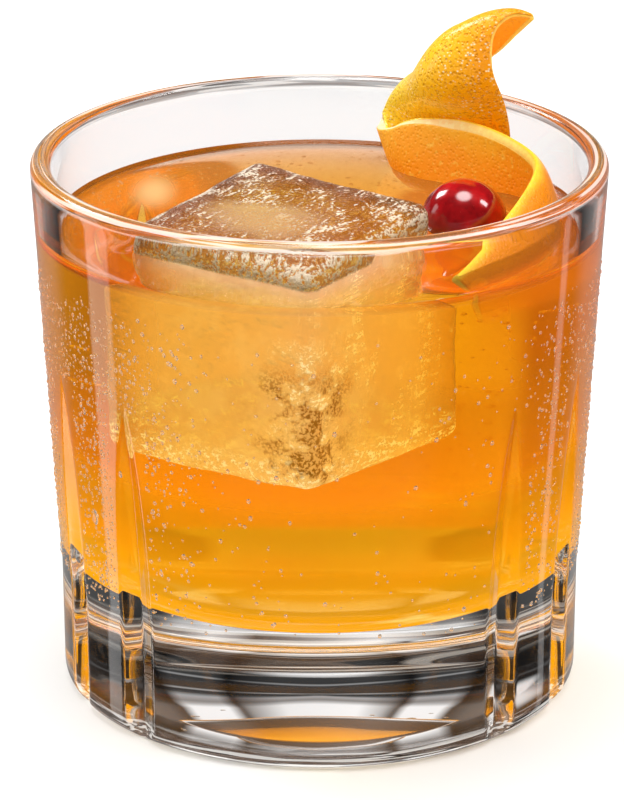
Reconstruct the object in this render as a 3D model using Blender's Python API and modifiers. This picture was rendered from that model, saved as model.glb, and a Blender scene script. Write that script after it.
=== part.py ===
"""Whiskey sour in a fluted tumbler: glass, drink, one large ice cube, a cherry and an orange peel twist.

Metres, +Z up. The glass stands on the plane z = 0 with its axis on the Z axis, and -Y is the front.
"""

import math

import bmesh
import bpy
import numpy as np
from mathutils import Matrix, Vector

MM = 0.001
CLEARANCE = 0.3 * MM          # gap between pieces that touch
PEEL_CLEARANCE = 0.9 * MM     # wider round the peel, whose sharpest folds use up some of it

# Glass: outer side
SIDES = 100                   # steps round every turned piece
CORNER_STEPS = 6              # steps along a rounded corner's arc
HEEL_STEPS = 4
GLASS_HEIGHT = 91.7 * MM
RIM_RADIUS = 47.5 * MM
WAIST_RADIUS = 43.65 * MM     # where the taper ends
WAIST_HEIGHT = 21.0 * MM
HEEL_RADIUS = 43.5 * MM       # straight side just above the foot
HEEL_ROUND = 3.0 * MM
LIP_WALL = 3.4 * MM           # wall thickness at the lip, which is a full round

# Glass: inside and underside
FLOOR_HEIGHT = 21.5 * MM
FLOOR_ROUND = 11.5 * MM
FLOOR_WALL = 4.4 * MM         # wall thickness just above the rounded floor corner
DOME_RADIUS = 25.0 * MM       # shallow dome underneath, inside the flat ring that the glass stands on
DOME_DEPTH = 1.9 * MM
DOME_POWER = 1.5              # power of the radius by which the dome falls to its edge
DOME_STEPS = 6

# V flutes cut up the outside, mirrored left to right and front to back
FLUTE_ANGLES = (43.2, 66.6)   # degrees from the front
FLUTE_TIP_HEIGHT = 59.0 * MM
FLUTE_DEPTH = 1.6 * MM
FLUTE_HALF_WIDTH = 3.9 * MM   # at full depth
FLUTE_RUN_OUT = 4             # power of the curve by which a flute fades into its tip
FLUTE_SECTIONS = 9
FLUTE_OVERCUT = 3.0 * MM      # how far the cutter stands outside the glass
FLUTE_OVERRUN = (-0.03, 1.02) # where the cutter starts and ends, as shares of the tip's height

# Drink
LIQUID_LEVEL = 79.3 * MM

# Ice cube: the middle of its top face, its sides, and how it floats
ICE_TOP = Vector((-6.0, -11.2, 85.0)) * MM
ICE_SIDE = 35.6 * MM
ICE_HEIGHT = 37.6 * MM
ICE_TURN = math.radians(-34.2)
ICE_TILT = math.radians(4.0)
ICE_ROUND = 2.6 * MM
ICE_MELT = 0.965              # width of the sunk end over that of the top
ICE_BEVEL_SEGMENTS = 4

# Cherry
CHERRY_CENTRE = Vector((23.8, 0.6, 79.6)) * MM
CHERRY_RADIUS = 7.3 * MM
CHERRY_DIMPLE = 0.8 * MM
CHERRY_DIMPLE_POWER = 12      # how narrow the dimple is
CHERRY_LEAN = math.radians(62.0)
CHERRY_TURN = math.radians(205.0)
CHERRY_RINGS = 14
CHERRY_SEGMENTS = 22

# Orange peel twist: stations from the pointed tip, over the fold and round the bend, to the sunk end.
# Each one gives a point on the strip's first edge, a point on its second edge and its bulge, in mm.
PEEL_THICKNESS = 1.9 * MM
PEEL_ROWS = 50
PEEL_COLUMNS = 8
PEEL_BULGE_POWER = 1.3
PEEL_STATIONS = (
    ((35.3, 20.0, 109.3), (35.5, 20.5, 108.8), 0.2),
    ((32.2, 19.0, 109.8), (33.1, 24.0, 105.3), 1.9),
    ((29.6, 18.0, 108.2), (31.0, 26.5, 102.2), 4.1),
    ((28.5, 17.5, 104.5), (27.0, 29.2, 98.8), 6.1),
    ((29.2, 18.5, 98.7), (18.4, 32.9, 96.1), 6.1),
    ((31.0, 22.2, 92.4), (13.4, 36.6, 90.9), 2.9),
    ((31.3, 26.4, 81.0), (12.0, 38.4, 87.6), 0.8),
    ((26.8, 30.3, 74.0), (11.1, 38.0, 86.1), 0.4),
    ((22.5, 30.3, 68.5), (10.7, 35.8, 85.5), -0.6),
    ((20.8, 25.7, 66.5), (11.5, 32.2, 86.5), -1.4),
    ((22.5, 20.1, 66.0), (14.3, 28.8, 89.0), -1.4),
    ((27.0, 15.1, 66.0), (21.1, 23.6, 90.3), 0.0),
    ((33.0, 10.5, 66.0), (29.7, 16.6, 89.4), 1.2),
    ((37.3, 3.5, 65.0), (35.1, 9.5, 87.9), 2.4),
    ((38.0, -4.5, 64.5), (35.4, 1.5, 87.0), 2.8),
    ((36.5, -12.0, 65.0), (32.3, -6.5, 84.4), 2.2),
    ((33.2, -18.0, 66.5), (28.2, -14.5, 81.9), 1.8),
    ((28.3, -23.0, 68.5), (24.3, -21.5, 80.0), 1.2),
    ((23.5, -27.0, 72.5), (21.1, -27.0, 79.0), 0.5),
)

COLOURS = {
    "glass": ((0.90, 0.93, 0.94, 1.0), 0.02),
    "drink": ((0.80, 0.36, 0.04, 1.0), 0.05),
    "ice_cube": ((0.88, 0.90, 0.90, 1.0), 0.15),
    "cherry": ((0.33, 0.004, 0.012, 1.0), 0.12),
    "orange_peel": ((0.95, 0.34, 0.01, 1.0), 0.38),
}


def clear_scene():
    for item in list(bpy.data.objects):
        bpy.data.objects.remove(item, do_unlink=True)


def new_collection(name):
    collection = bpy.data.collections.new(name)
    bpy.context.scene.collection.children.link(collection)
    return collection


def finish_material(name):
    """A plain Principled finish with the piece's own colour and roughness."""
    colour, roughness = COLOURS[name]
    material = bpy.data.materials.new(name)
    material.use_nodes = True
    shader = material.node_tree.nodes["Principled BSDF"]
    shader.inputs["Base Color"].default_value = colour
    shader.inputs["Roughness"].default_value = roughness
    shader.inputs["Metallic"].default_value = 0.0
    return material


def add_object(name, mesh, collection):
    item = bpy.data.objects.new(name, mesh)
    collection.objects.link(item)
    if name in COLOURS:
        mesh.materials.append(finish_material(name))
        mesh.shade_smooth()
    return item


def add_cutter(name, mesh, collection):
    item = add_object(name, mesh, collection)
    item.hide_render = True
    item.display_type = "WIRE"
    return item


def mesh_from_bmesh(name, shape):
    mesh = bpy.data.meshes.new(name)
    shape.to_mesh(mesh)
    shape.free()
    return mesh


def turned_mesh(name, profile):
    """The half outline of a turned piece, as a chain of edges for a Screw modifier."""
    shape = bmesh.new()
    points = [shape.verts.new((radius, 0.0, height)) for radius, height in profile]
    for first, second in zip(points, points[1:]):
        shape.edges.new((first, second))
    return mesh_from_bmesh(name, shape)


def add_screw(item):
    screw = item.modifiers.new("Turn", "SCREW")
    screw.axis = "Z"
    screw.angle = math.tau
    screw.steps = SIDES
    screw.render_steps = SIDES
    screw.use_merge_vertices = True
    screw.merge_threshold = 0.01 * MM
    screw.use_smooth_shade = True


def add_cut(item, cutter):
    cut = item.modifiers.new("Cut " + cutter.name, "BOOLEAN")
    cut.operation = "DIFFERENCE"
    cut.solver = "EXACT"
    cut.object = cutter


def arc(centre, radius, start, end, steps):
    """Points on an arc in the profile's plane, from one angle to another, in degrees from +X."""
    points = []
    for step in range(steps + 1):
        angle = math.radians(start + (end - start) * step / steps)
        points.append((centre[0] + radius * math.cos(angle), centre[1] + radius * math.sin(angle)))
    return points


def outer_radius(height):
    """Outer radius of the glass: straight heel below the waist and a straight taper above it."""
    if height <= WAIST_HEIGHT:
        share = height / WAIST_HEIGHT
        return HEEL_RADIUS + (WAIST_RADIUS - HEEL_RADIUS) * share
    share = (height - WAIST_HEIGHT) / (GLASS_HEIGHT - WAIST_HEIGHT)
    return WAIST_RADIUS + (RIM_RADIUS - WAIST_RADIUS) * share


def inner_radius(height):
    """Inner radius of the glass, whose wall thickens evenly from the lip to the floor's round."""
    bottom = FLOOR_HEIGHT + FLOOR_ROUND
    share = (height - bottom) / (GLASS_HEIGHT - bottom)
    wall = FLOOR_WALL + (LIP_WALL - FLOOR_WALL) * share
    return outer_radius(height) - wall


def bowl_profile(offset):
    """The inside of the glass from the axis to the top of the rounded corner, shrunk by an offset."""
    corner_height = FLOOR_HEIGHT + FLOOR_ROUND
    corner_radius = inner_radius(corner_height)
    centre = (corner_radius - FLOOR_ROUND, corner_height)
    return [(0.0, FLOOR_HEIGHT + offset)] + arc(centre, FLOOR_ROUND - offset, -90, 0, CORNER_STEPS)


def glass_profile():
    lip_radius = LIP_WALL / 2
    lip_centre = (RIM_RADIUS - lip_radius, GLASS_HEIGHT - lip_radius)
    heel_centre = (HEEL_RADIUS - HEEL_ROUND, HEEL_ROUND)
    profile = bowl_profile(0.0)
    profile += arc(lip_centre, lip_radius, 180, 0, CORNER_STEPS)
    profile += [(outer_radius(WAIST_HEIGHT), WAIST_HEIGHT)]
    profile += arc(heel_centre, HEEL_ROUND, 0, -90, HEEL_STEPS)
    for step in range(DOME_STEPS + 1):
        share = 1.0 - step / DOME_STEPS
        profile += [(DOME_RADIUS * share, DOME_DEPTH * (1.0 - share ** DOME_POWER))]
    return profile


def flute_mesh(name, angle):
    """A V-shaped cutter whose depth fades out along a curve towards the flute's tip."""
    outward = Vector((math.sin(angle), -math.cos(angle), 0.0))
    sideways = Vector((math.cos(angle), math.sin(angle), 0.0))
    slope = FLUTE_HALF_WIDTH / FLUTE_DEPTH
    start, end = FLUTE_OVERRUN
    shape = bmesh.new()
    rings = []
    for section in range(FLUTE_SECTIONS + 1):
        share = start + (end - start) * math.sin(0.5 * math.pi * section / FLUTE_SECTIONS)
        height = share * FLUTE_TIP_HEIGHT
        depth = FLUTE_DEPTH * (1.0 - abs(share) ** FLUTE_RUN_OUT)
        side = outer_radius(max(height, 0.0))
        root = outward * (side - depth) + Vector((0.0, 0.0, height))
        face = outward * (side + FLUTE_OVERCUT) + Vector((0.0, 0.0, height))
        spread = sideways * (depth + FLUTE_OVERCUT) * slope
        rings.append([shape.verts.new(point) for point in (root, face - spread, face + spread)])
    for lower, upper in zip(rings, rings[1:]):
        for corner in range(3):
            following = (corner + 1) % 3
            shape.faces.new((lower[corner], lower[following], upper[following], upper[corner]))
    shape.faces.new(rings[0])
    shape.faces.new(rings[-1])
    bmesh.ops.recalc_face_normals(shape, faces=shape.faces)
    return mesh_from_bmesh(name, shape)


def make_glass(parts, cutters):
    glass = add_object("glass", turned_mesh("glass", glass_profile()), parts)
    add_screw(glass)
    for number, degrees in enumerate(FLUTE_ANGLES):
        for turn, angle in enumerate((degrees, -degrees, 180 - degrees, degrees - 180)):
            name = f"flute_{number}_{turn}"
            cutter = add_cutter(name, flute_mesh(name, math.radians(angle)), cutters)
            add_cut(glass, cutter)
    return glass


def drink_profile():
    profile = bowl_profile(CLEARANCE)
    profile += [(inner_radius(LIQUID_LEVEL) - CLEARANCE, LIQUID_LEVEL), (0.0, LIQUID_LEVEL)]
    return profile


def ice_mesh(name, grow):
    """A block that tapers a little towards its sunk end, centred under the middle of its top face."""
    shape = bmesh.new()
    bmesh.ops.create_cube(shape, size=1.0)
    side = ICE_SIDE + 2 * grow
    height = ICE_HEIGHT + 2 * grow
    for corner in shape.verts:
        width = side if corner.co.z > 0 else side * ICE_MELT
        corner.co = (corner.co.x * width, corner.co.y * width, corner.co.z * height - ICE_HEIGHT / 2)
    return mesh_from_bmesh(name, shape)


def place_ice(item):
    turn = Matrix.Rotation(ICE_TURN, 4, "Z")
    tilt = Matrix.Rotation(ICE_TILT, 4, "X")
    item.matrix_world = Matrix.Translation(ICE_TOP) @ tilt @ turn
    bevel = item.modifiers.new("Melted edges", "BEVEL")
    bevel.width = ICE_ROUND
    bevel.segments = ICE_BEVEL_SEGMENTS
    bevel.limit_method = "NONE"


def cherry_mesh(name, grow):
    """A ball with the shallow dimple that its stalk leaves."""
    shape = bmesh.new()
    bmesh.ops.create_uvsphere(
        shape, u_segments=CHERRY_SEGMENTS, v_segments=CHERRY_RINGS, radius=CHERRY_RADIUS + grow
    )
    for point in shape.verts:
        rise = max(point.co.z / (CHERRY_RADIUS + grow), 0.0)
        point.co.z -= CHERRY_DIMPLE * rise ** CHERRY_DIMPLE_POWER
    return mesh_from_bmesh(name, shape)


def place_cherry(item):
    lean = Matrix.Rotation(CHERRY_LEAN, 4, "X")
    turn = Matrix.Rotation(CHERRY_TURN, 4, "Z")
    item.matrix_world = Matrix.Translation(CHERRY_CENTRE) @ turn @ lean


def smooth_chain(values, shares):
    """Natural cubic spline through a chain of values, read at shares from 0 to 1 of its length."""
    middle = (values[:, 0:3] + values[:, 3:6]) / 2
    steps = np.linalg.norm(np.diff(middle, axis=0), axis=1)
    steps += np.linalg.norm(np.diff(values[:, 3:6], axis=0), axis=1) / 2
    knots = np.concatenate(([0.0], np.cumsum(steps)))
    knots /= knots[-1]
    count = len(knots)
    gaps = np.diff(knots)
    system = np.eye(count)
    target = np.zeros_like(values)
    for row in range(1, count - 1):
        system[row, row - 1:row + 2] = (gaps[row - 1], 2 * (gaps[row - 1] + gaps[row]), gaps[row])
        rise = (values[row + 1] - values[row]) / gaps[row]
        target[row] = 6 * (rise - (values[row] - values[row - 1]) / gaps[row - 1])
    bend = np.linalg.solve(system, target)
    result = []
    for share in shares:
        span = min(max(int(np.searchsorted(knots, share)) - 1, 0), count - 2)
        gap = gaps[span]
        ahead = (share - knots[span]) / gap
        behind = 1 - ahead
        point = behind * values[span] + ahead * values[span + 1]
        point += ((behind ** 3 - behind) * bend[span] + (ahead ** 3 - ahead) * bend[span + 1]) * gap ** 2 / 6
        result.append(point)
    return np.array(result)


def peel_mesh(name, grow):
    """The peel's middle surface: a strip between its two edges that bulges towards the zest side.

    It is split into triangles here, so that both faces of the rind and its pocket fold alike.
    """
    stations = np.array([(*first, *second, bulge) for first, second, bulge in PEEL_STATIONS]) * MM
    rows = smooth_chain(stations, np.linspace(0.0, 1.0, PEEL_ROWS + 1))
    middle = (rows[:, 0:3] + rows[:, 3:6]) / 2
    along = np.gradient(middle, axis=0)
    along /= np.linalg.norm(along, axis=1)[:, None]
    across = rows[:, 3:6] - rows[:, 0:3]
    across -= np.sum(across * along, axis=1)[:, None] * along
    across /= np.linalg.norm(across, axis=1)[:, None]
    zest = np.cross(across, along)
    ends = np.zeros(PEEL_ROWS + 1)
    ends[0] = -grow
    ends[-1] = grow
    shape = bmesh.new()
    grid = []
    for row in range(PEEL_ROWS + 1):
        line = []
        for column in range(PEEL_COLUMNS + 1):
            angle = math.pi * column / PEEL_COLUMNS
            side = -math.cos(angle)
            point = rows[row, 0:3] * (1 - side) / 2 + rows[row, 3:6] * (1 + side) / 2
            point = point + zest[row] * rows[row, 6] * math.sin(angle) ** PEEL_BULGE_POWER
            point = point + across[row] * side * grow + along[row] * ends[row]
            line.append(shape.verts.new(point))
        grid.append(line)
    for near, far in zip(grid, grid[1:]):
        for column in range(PEEL_COLUMNS):
            shape.faces.new((near[column], far[column], far[column + 1]))
            shape.faces.new((near[column], far[column + 1], near[column + 1]))
    return mesh_from_bmesh(name, shape)


def add_thickness(item, grow):
    solidify = item.modifiers.new("Rind", "SOLIDIFY")
    solidify.thickness = PEEL_THICKNESS + 2 * grow
    solidify.offset = 0.0


def make_drink(parts, cutters):
    """The drink fills the bowl up to its level and is cut round the ice, the cherry and the peel."""
    drink = add_object("drink", turned_mesh("drink", drink_profile()), parts)
    add_screw(drink)
    ice = add_cutter("ice_pocket", ice_mesh("ice_pocket", CLEARANCE), cutters)
    place_ice(ice)
    cherry = add_cutter("cherry_pocket", cherry_mesh("cherry_pocket", CLEARANCE), cutters)
    place_cherry(cherry)
    peel = add_cutter("peel_pocket", peel_mesh("peel_pocket", PEEL_CLEARANCE), cutters)
    add_thickness(peel, PEEL_CLEARANCE)
    for cutter in (ice, cherry, peel):
        add_cut(drink, cutter)
    return drink


def make_garnish_and_ice(parts):
    place_ice(add_object("ice_cube", ice_mesh("ice_cube", 0.0), parts))
    place_cherry(add_object("cherry", cherry_mesh("cherry", 0.0), parts))
    add_thickness(add_object("orange_peel", peel_mesh("orange_peel", 0.0), parts), 0.0)


def main():
    clear_scene()
    parts = new_collection("whiskey_sour")
    cutters = new_collection("cutters")
    make_glass(parts, cutters)
    make_drink(parts, cutters)
    make_garnish_and_ice(parts)


main()
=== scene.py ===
"""Looks for a whiskey sour: a fluted tumbler with condensation, an amber drink, one large ice cube,
a cherry and an orange peel twist.

Metres, +Z up. The glass stands on z = 0 with its axis on the Z axis, and -Y is the front.
"""

import math
import random

import bmesh
import bpy
import numpy as np
from mathutils import Matrix, Vector, noise
from mathutils.bvhtree import BVHTree


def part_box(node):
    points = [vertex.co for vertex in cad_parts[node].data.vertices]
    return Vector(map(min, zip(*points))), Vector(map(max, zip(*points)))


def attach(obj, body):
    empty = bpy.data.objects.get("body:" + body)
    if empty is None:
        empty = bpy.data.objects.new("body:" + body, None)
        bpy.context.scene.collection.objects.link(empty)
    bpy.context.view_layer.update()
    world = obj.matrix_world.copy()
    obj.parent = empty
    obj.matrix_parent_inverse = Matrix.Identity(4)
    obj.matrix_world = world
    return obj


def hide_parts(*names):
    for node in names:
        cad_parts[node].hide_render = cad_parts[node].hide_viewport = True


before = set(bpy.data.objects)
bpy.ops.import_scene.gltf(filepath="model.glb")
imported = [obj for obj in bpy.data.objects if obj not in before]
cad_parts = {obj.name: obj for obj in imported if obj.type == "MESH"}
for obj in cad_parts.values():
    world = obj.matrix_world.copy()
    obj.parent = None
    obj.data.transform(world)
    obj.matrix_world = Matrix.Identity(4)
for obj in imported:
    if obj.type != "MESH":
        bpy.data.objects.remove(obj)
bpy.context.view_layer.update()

MM = 0.001
WHITE = (1.0, 1.0, 1.0, 1.0)
BLACK = (0.0, 0.0, 0.0, 1.0)

# A pair of heights, depths, widths or radii in a finish is where a change starts and where it is complete

# Glass: sizes of the solid that it replaces
GLASS_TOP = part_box("glass")[1]
RIM_RADIUS = GLASS_TOP[0]
GLASS_HEIGHT = GLASS_TOP[2]
WAIST_RADIUS = 43.65 * MM
WAIST_HEIGHT = 21.0 * MM
HEEL_RADIUS = 43.5 * MM
HEEL_ROUND = 3.0 * MM
LIP_WALL = 3.4 * MM
FLOOR_HEIGHT = 21.5 * MM
FLOOR_ROUND = 11.5 * MM
FLOOR_WALL = 4.4 * MM
DOME_RADIUS = 25.0 * MM
DOME_DEPTH = 1.9 * MM
DOME_POWER = 1.5
DOME_STEPS = 20
FLUTE_ANGLES = (43.2, 66.6)
FLUTE_TIP_HEIGHT = 59.0 * MM
FLUTE_DEPTH = 1.6 * MM
FLUTE_HALF_WIDTH = 3.9 * MM
FLUTE_RUN_OUT = 4
FLUTE_SOFTNESS = 0.10 * MM    # rounding of a flute's edges and root
FLUTE_ROOT = 0.3              # share of that rounding at the root
FLUTE_SPREAD = 8.0            # degrees to each side of a flute's root that have fine columns
FLUTE_REACH = 9.0             # degrees to each side that a flute may cut
FINE_STEP = 0.4               # degrees between columns
PLAIN_STEP = 1.5
GLASS_IOR = 1.51
# Painted highlight lines at the lip, and painted highlight and warm painted reflection lines at the heel,
# which glow
PAINTED_LINE_GLOW = 0.5                # glow of the painted highlight lines at the lip and the heel
LIP_HIGHLIGHT_HEIGHTS = (GLASS_HEIGHT - 2.6 * MM, GLASS_HEIGHT - 0.8 * MM)
HEEL_HIGHLIGHT_HEIGHTS = (5.0 * MM, 2.5 * MM)
HEEL_HIGHLIGHT_RADII = (36.0 * MM, 39.0 * MM)
LIP_HIGHLIGHT_LINES = 0.38              # how strong the painted highlight lines at the lip are
HEEL_HIGHLIGHT_LINES = 0.36

# Drink
LIQUID_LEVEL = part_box("drink")[1][2]
SINK = 0.06 * MM              # how far wet surfaces reach into each other, so that no air shows
MENISCUS_WALL = 1.3 * MM
MENISCUS_ITEM = 0.9 * MM
MENISCUS_REACH = 1.5 * MM
MENISCUS_SEARCH = 9.0 * MM
DRINK_COLUMNS = 300
SURFACE_STEP = 0.45 * MM      # between rings of the surface, the outer of which are closer together
SURFACE_MIDDLE = 1.2 * MM
SURFACE_INSET = 0.02 * MM
CREEP_WIDTH = 3.0 * MM
CREEP_STEPS = 16
CREEP_GATHER = 1.6
DRINK_IOR = 1.345
DRINK_TINT = (0.99, 0.83, 0.0, 1.0)
DRINK_DENSITY = 68.0
DRINK_GLOW = 0.78             # painted glow of the cloudy drink, standing in for light scattered inside it
SURFACE_HEIGHTS = (LIQUID_LEVEL - 0.3 * MM, LIQUID_LEVEL - 0.1 * MM)
SETTLED_HEIGHTS = (52.0 * MM, 40.0 * MM)    # the drink has settled and is cloudier low down
WALL_RADII = (38.4 * MM, 39.2 * MM)
REDDER_PLACES = (12.0 * MM, 34.0 * MM)      # it is redder on the right, high up
REDDER_HEIGHTS = (50.0 * MM, 70.0 * MM)
GOLDEN_HEIGHTS = (37.0 * MM, 27.0 * MM)
# The drink's painted glow is brighter low down, with painted glints near the floor
LIT_HEIGHTS = (45.0 * MM, 28.0 * MM)
GLINT_HEIGHTS = (31.0 * MM, 25.0 * MM)
SHEEN_CENTRE = (-28.0 * MM, 18.0 * MM)      # a painted sheen: a pale reflection painted on the surface, at the back left
SHEEN_SIZE = (4.0 * MM, 10.0 * MM)
CONTACT_RADII = (40.8 * MM, 42.0 * MM)      # the painted dark line of shade where the surface meets the back wall
CONTACT_PLACES = (-5.0 * MM, 15.0 * MM)
CONTACT_WANDER = 1.2 * MM
BEHIND_PLACES = (0.0, 12.0 * MM)
FLOOR_HEIGHTS = (FLOOR_HEIGHT + 1.0 * MM, FLOOR_HEIGHT + 0.3 * MM)
FLOOR_RADII = (24.0 * MM, 10.0 * MM)
FLOOR_CLOUD = 0.45            # how cloudy it is over the floor, low down, at its surface and at its wall
SETTLED_CLOUD = 0.66
SURFACE_CLOUD = 0.45
WALL_CLOUD = 0.18
REDDER_CLOUD = 0.30
DRIFTING_CLOUD = 0.04

# Ice cube
ICE_TOP = Vector((-6.0, -11.2, 85.0)) * MM
ICE_SIDE = 35.6 * MM
ICE_HEIGHT = 37.6 * MM
ICE_TURN = math.radians(-34.2)
ICE_TILT = math.radians(4.0)
ICE_ROUND = 2.6 * MM
ICE_MELT = 0.965
ICE_CUTS = 84
ICE_SWELLS = (                # uneven melting: depth, features to the metre and where the noise is read
    (0.40 * MM, 95.0, Vector((3.1, 7.7, 1.9))),
    (0.16 * MM, 320.0, Vector((9.3, 2.2, 5.1))),
    (0.05 * MM, 1100.0, Vector((0.0, 0.0, 0.0))),
)
ICE_SWELL_LIMIT = 0.12 * MM
ICE_GATHER = 0.18             # how much closer its columns are near the edges
ICE_IOR = 1.31
ICE_GLOW = 0.90               # painted glow of the sunk part, standing in for light scattered in it
ICE_HALF = 17.2 * MM          # half the width of the sunk part
ICE_DRY_HEIGHTS = (LIQUID_LEVEL - ICE_TOP.z + 0.3 * MM, LIQUID_LEVEL - ICE_TOP.z + 1.3 * MM)
ICE_EDGE = (14.0 * MM, 18.0 * MM)
# Middle of the smooth patch on its top and the patch's half widths, on the ice's own axes
ICE_SMOOTH_PATCH = (-1.0 * MM, -4.0 * MM, 9.0 * MM, 6.0 * MM)
SEAM_WIDTHS = (9.0 * MM, 1.5 * MM)          # the pale seam along the near corner, below the surface: frost, with painted hot spots of light
SEAM_DEPTHS = (-9.0 * MM, -15.0 * MM)
SEAM_WANDER = 26.0 * MM
DARK_PATCH_WIDTHS = (13.0 * MM, 5.0 * MM)       # dark brown patches beside it
DARK_PATCH_DEPTHS = (-14.0 * MM, -21.0 * MM)
FOOT_DEPTHS = (-31.5 * MM, -34.5 * MM)      # the melted foot, frosted, with painted hot spots of light
FOOT_WANDER = 7.0 * MM
RIGHT_FACE = (14.8 * MM, 16.0 * MM)
INWARDS = (ICE_HALF, 5.0 * MM)
ICE_BUMP = 0.62 * MM

# Cherry
CHERRY_CENTRE = Vector((23.8, 0.6, 79.6)) * MM
CHERRY_RADIUS = 7.3 * MM
CHERRY_LEAN = math.radians(62.0)
CHERRY_TURN = math.radians(205.0)
CHERRY_LUMPS = ((130.0, 0.20), (420.0, 0.05))    # features to the metre and depth in mm
CHERRY_DIMPLE = 0.8 * MM
CHERRY_DIMPLE_POWER = 12

# Orange peel twist: stations from its tip to its sunk end, each with a point on its first edge,
# a point on its second edge and its bulge, in mm
PEEL_THICKNESS = 1.9 * MM
PEEL_ROWS = 420
PEEL_COLUMNS = 56
PEEL_RIM_STEPS = 6
PEEL_RIM_BULGE = 0.35         # how round its cut edges are
PEEL_BULGE_POWER = 1.3
PEEL_GLOW = 0.18              # painted glow of the rind, standing in for light scattered in it
PEEL_TIP_THINNESS = 0.5       # thickness at the very tip as a share of the rest
PEEL_TIP_REACH = 0.12         # share of the length over which it thins
PEEL_SHOWING = (LIQUID_LEVEL - 7.0 * MM, LIQUID_LEVEL - 1.0 * MM)
PEEL_SLANTS = ((0.0, 0.01), (0.35, 0.02), (0.42, 0.15), (0.52, 0.15), (0.62, 0.06), (0.72, 0.04), (1.0, 0.02))
PEEL_STATIONS = (
    ((35.3, 20.0, 109.3), (35.5, 20.5, 108.8), 0.2),
    ((32.2, 19.0, 109.8), (33.1, 24.0, 105.3), 1.9),
    ((29.6, 18.0, 108.2), (31.0, 26.5, 102.2), 4.1),
    ((28.5, 17.5, 104.5), (27.0, 29.2, 98.8), 6.1),
    ((29.2, 18.5, 98.7), (18.4, 32.9, 96.1), 6.1),
    ((31.0, 22.2, 92.4), (13.4, 36.6, 90.9), 2.9),
    ((31.3, 26.4, 81.0), (12.0, 38.4, 87.6), 0.8),
    ((26.8, 30.3, 74.0), (11.1, 38.0, 86.1), 0.4),
    ((22.5, 30.3, 68.5), (10.7, 35.8, 85.5), -0.6),
    ((20.8, 25.7, 66.5), (11.5, 32.2, 86.5), -1.4),
    ((22.5, 20.1, 66.0), (14.3, 28.8, 89.0), -1.4),
    ((27.0, 15.1, 66.0), (21.1, 23.6, 90.3), 0.0),
    ((33.0, 10.5, 66.0), (29.7, 16.6, 89.4), 1.2),
    ((37.3, 3.5, 65.0), (35.1, 9.5, 87.9), 2.4),
    ((38.0, -4.5, 64.5), (35.4, 1.5, 87.0), 2.8),
    ((36.5, -12.0, 65.0), (32.3, -6.5, 84.4), 2.2),
    ((33.2, -18.0, 66.5), (28.2, -14.5, 81.9), 1.8),
    ((28.3, -23.0, 68.5), (24.3, -21.5, 80.0), 1.2),
    ((23.5, -27.0, 72.5), (21.1, -27.0, 79.0), 0.5),
)

# Condensation: angles in degrees from the front, positive to the right, each with how thick it is
BEAD_SEED = 7
BEAD_IOR = 1.33
BEAD_SPACING = 0.80 * MM
BEAD_SHEEN = 0.04             # share of a painted white sheen, which glows, on each bead
BEAD_GLOW = 0.2
BEAD_SMALLEST = 0.15 * MM
BEAD_LARGEST = 0.44 * MM
BEAD_SIZE_POWER = 1.6         # small beads are commoner
BEAD_LENGTHS = (0.9, 1.3)     # length and rise as shares of its half width
BEAD_RISE = 0.68
BEAD_MESH = (2, 5)            # rings and sides
BEAD_SINK = 0.012 * MM
BEAD_ANGLES = (
    (-180.0, 0.06), (-130.0, 0.40), (-95.0, 0.8), (-45.0, 0.95), (-34.0, 0.55), (-24.0, 0.12), (0.0, 0.04),
    (30.0, 0.05), (44.0, 0.20), (54.0, 0.60), (80.0, 0.7), (130.0, 0.4), (180.0, 0.06),
)
BEAD_HEIGHTS = ((22.5 * MM, 0.7), (30.0 * MM, 1.0), (62.0 * MM, 1.0), (72.0 * MM, 0.8), (77.0 * MM, 0.0))
FLUTE_CLEAR_ANGLE = 5.2
DROP_CLEAR_ANGLE = 6.0
LARGE_BEADS = 120
LARGE_HEIGHTS = (26, 68)      # in mm
LARGE_SIZES = (0.30, 0.48)
LARGE_LENGTHS = (1.0, 1.5)
DROP_RISE = 0.55
DROP_MESH = (5, 18)
DROP_SAG = 0.25               # how much narrower the top of a long drop is
LONG_DROP = 1.3               # times its width
DROPS = (                     # angle, height in mm, half width and half length in mm
    (-56.5, 56.0, 0.42, 0.66), (-45.5, 55.8, 0.36, 0.50), (-45.5, 47.5, 0.42, 0.60),
    (-55.0, 37.6, 0.72, 1.35), (-35.2, 32.3, 0.36, 0.62), (63.0, 52.0, 0.36, 0.62), (60.5, 47.5, 0.40, 0.55),
)

# Studio: azimuths in degrees from the back, positive to the right, and heights as sines of elevation
FLOOR_SIZE = 3.0
ROOM_GLOW = 0.75              # how the room above the horizon lights matt surfaces
TABLE_GLOW = 1.0              # how the pale surroundings below it do
ROOM_MIRRORED = 0.04          # what a shiny surface mirrors of the dark room
HORIZON_MIRRORED = 0.30       # and of the pale backdrop's foot
HORIZON_AZIMUTHS = (55.0, 40.0)
HORIZON_HEIGHTS = (0.12, 0.0)
ROOM_HEIGHTS = (0.0, 0.22)
SOFTBOXES = (                 # azimuth, half width, lowest, highest, brightness
    (-78.0, 7.0, -0.62, 0.50, 1.8),
    (62.0, 2.2, -0.62, 0.45, 1.0),
    (-46.4, 9.0, 0.48, 0.72, 13.0),
    (90.0, 7.0, 0.62, 0.78, 11.0),
)
BOX_SOFTNESS = (1.0, 0.03)    # of their edges, in degrees and in height
BOXES_THROUGH_GLASS = 0.06    # how bright they are when they are seen through the glass
OVERHEAD = (0.81, 0.91)       # heights over which the overhead softbox begins
OVERHEAD_GLOW = 2.4
OVERHEAD_MIRRORED = (0.945, 0.985)
OVERHEAD_SHINE = 8.0
FLAG_AZIMUTHS = (22.0, 30.0)  # dark flags on both sides, and where they end
FLAG_ENDS = (140.0, 120.0)
FLAG_DARKNESS = 0.9
TABLE_HEIGHTS = (-0.27, -0.30)
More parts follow.
